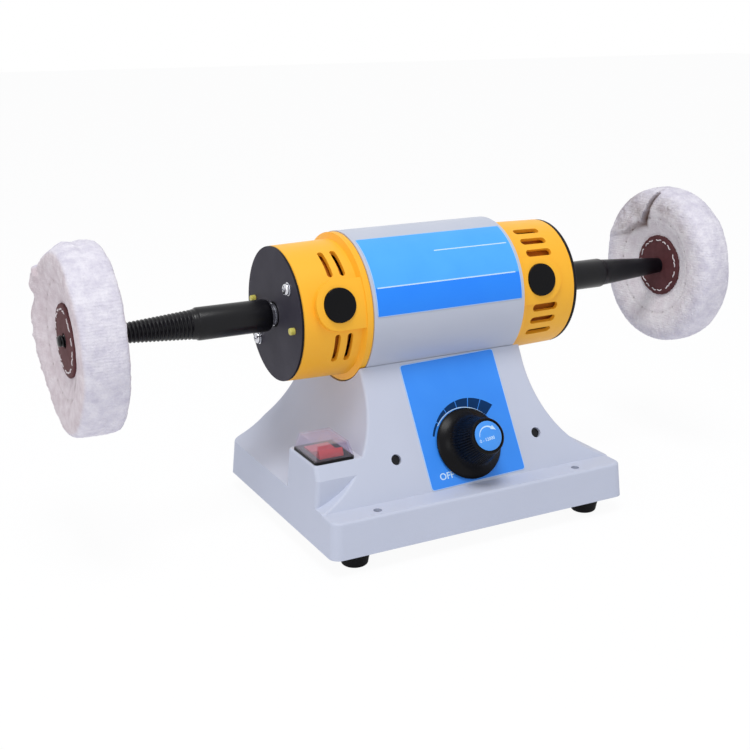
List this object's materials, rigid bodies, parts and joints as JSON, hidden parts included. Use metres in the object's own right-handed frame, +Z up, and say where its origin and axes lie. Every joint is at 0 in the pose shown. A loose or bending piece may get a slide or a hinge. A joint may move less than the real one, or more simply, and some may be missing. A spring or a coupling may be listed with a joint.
{
  "type": "dental polishing lathe",
  "caption": "Bench polishing lathe: motor on a sloped stand with tapered spindles, cloth buffing wheels, speed knob and rocker switch under a clear boot.",
  "frame": {"origin": "on the bench, under the middle of the base", "axes": "+X along the spindle to the right as the user sees it, +Y away from the user, +Z up"},
  "size_m": [0.4381, 0.1564, 0.1831],
  "materials": {
    "base_housing": "satin light grey enamel",
    "bottom_plate": "zinc plated sheet",
    "rubber_feet": "matt",
    "foot_screws": "zinc plated",
    "panel_label": "printed film",
    "control_knob": "fine ribbed",
    "knob_cap": "gloss",
    "potentiometer": "zinc plated",
    "potentiometer_shaft": "turned",
    "potentiometer_nut": "nickel plated",
    "front_screws": "zinc plated",
    "board_nuts": "zinc plated",
    "speed_board": "solder mask",
    "heat_sink": "extruded",
    "triac": "moulded",
    "choke_coil": "enamelled copper",
    "filter_capacitor": "sleeved",
    "switch_housing": "moulded",
    "switch_rocker": "gloss",
    "rocker_pin": "turned",
    "switch_cover": "clear moulding",
    "switch_terminals": "pressed",
    "cable_gland": "moulded",
    "gland_nut": "moulded",
    "motor_tube": "satin grey enamel",
    "motor_label": "printed film",
    "left_bell": "gloss yellow enamel",
    "right_bell": "gloss yellow enamel",
    "left_end_disc": "satin black",
    "right_end_disc": "satin black",
    "brush_caps": "moulded",
    "port_caps": "moulded",
    "tie_bolts": "plated",
    "tie_nuts": "plated",
    "tie_washers": "plated",
    "motor_screws": "zinc plated",
    "motor_nuts": "zinc plated",
    "brush_holders": "phenolic moulding",
    "carbon_brushes": "pressed carbon",
    "brush_springs": "spring wire",
    "stator_core": "laminated",
    "field_coils": "enamelled copper",
    "armature_core": "laminated",
    "armature_windings": "enamelled copper",
    "commutator": "turned copper",
    "cooling_fan": "moulded",
    "motor_shaft": "ground",
    "bearing_outer_rings": "ground",
    "bearing_inner_rings": "ground",
    "right_spindle": "blackened steel",
    "left_spindle": "blackened steel",
    "grub_screws": "blackened",
    "right_wheel": "stitched cotton",
    "left_wheel": "stitched cotton",
    "right_wheel_leathers": "stitched hide",
    "left_wheel_leathers": "stitched hide"
  },
  "bodies": {
    "stand": {"base_housing": "base_housing", "bottom_plate": "bottom_plate", "rubber_feet": "rubber_feet", "foot_screws": "foot_screws", "panel_label": "panel_label", "potentiometer": "potentiometer", "potentiometer_nut": "potentiometer_nut", "front_screws": "front_screws", "board_nuts": "board_nuts", "speed_board": "speed_board", "heat_sink": "heat_sink", "triac": "triac", "choke_coil": "choke_coil", "filter_capacitor": "filter_capacitor", "switch_housing": "switch_housing", "rocker_pin": "rocker_pin", "switch_cover": "switch_cover", "switch_terminals": "switch_terminals", "cable_gland": "cable_gland", "gland_nut": "gland_nut", "motor_tube": "motor_tube", "motor_label": "motor_label", "left_bell": "left_bell", "right_bell": "right_bell", "left_end_disc": "left_end_disc", "right_end_disc": "right_end_disc", "brush_caps": "brush_caps", "port_caps": "port_caps", "tie_bolts": "tie_bolts", "tie_nuts": "tie_nuts", "tie_washers": "tie_washers", "motor_screws": "motor_screws", "motor_nuts": "motor_nuts", "brush_holders": "brush_holders", "carbon_brushes": "carbon_brushes", "brush_springs": "brush_springs", "stator_core": "stator_core", "field_coils": "field_coils", "bearing_outer_rings": "bearing_outer_rings"},
    "rotor": {"motor_shaft": "motor_shaft", "armature_core": "armature_core", "armature_windings": "armature_windings", "commutator": "commutator", "cooling_fan": "cooling_fan", "bearing_inner_rings": "bearing_inner_rings", "right_spindle": "right_spindle", "left_spindle": "left_spindle", "grub_screws": "grub_screws", "right_wheel": "right_wheel", "left_wheel": "left_wheel", "right_wheel_leathers": "right_wheel_leathers", "left_wheel_leathers": "left_wheel_leathers"},
    "knob": {"control_knob": "control_knob", "knob_cap": "knob_cap", "potentiometer_shaft": "potentiometer_shaft"},
    "rocker": {"switch_rocker": "switch_rocker"}
  },
  "joints": [
    {"name": "rotor_spin", "type": "hinge", "parent": "stand", "child": "rotor", "pos_m": [0, 0.01, 0.1303], "axis": [1, 0, 0], "continuous": true},
    {"name": "knob_turn", "type": "hinge", "parent": "stand", "child": "knob", "pos_m": [0.0028, -0.05013, 0.05268], "axis": [0, 0.8763, -0.4818], "range_deg": [0, 280]},
    {"name": "switch_rock", "type": "hinge", "parent": "stand", "child": "rocker", "pos_m": [-0.0834, -0.0326, 0.0552], "axis": [1, 0, 0], "range_deg": [0, 20]}
  ]
}
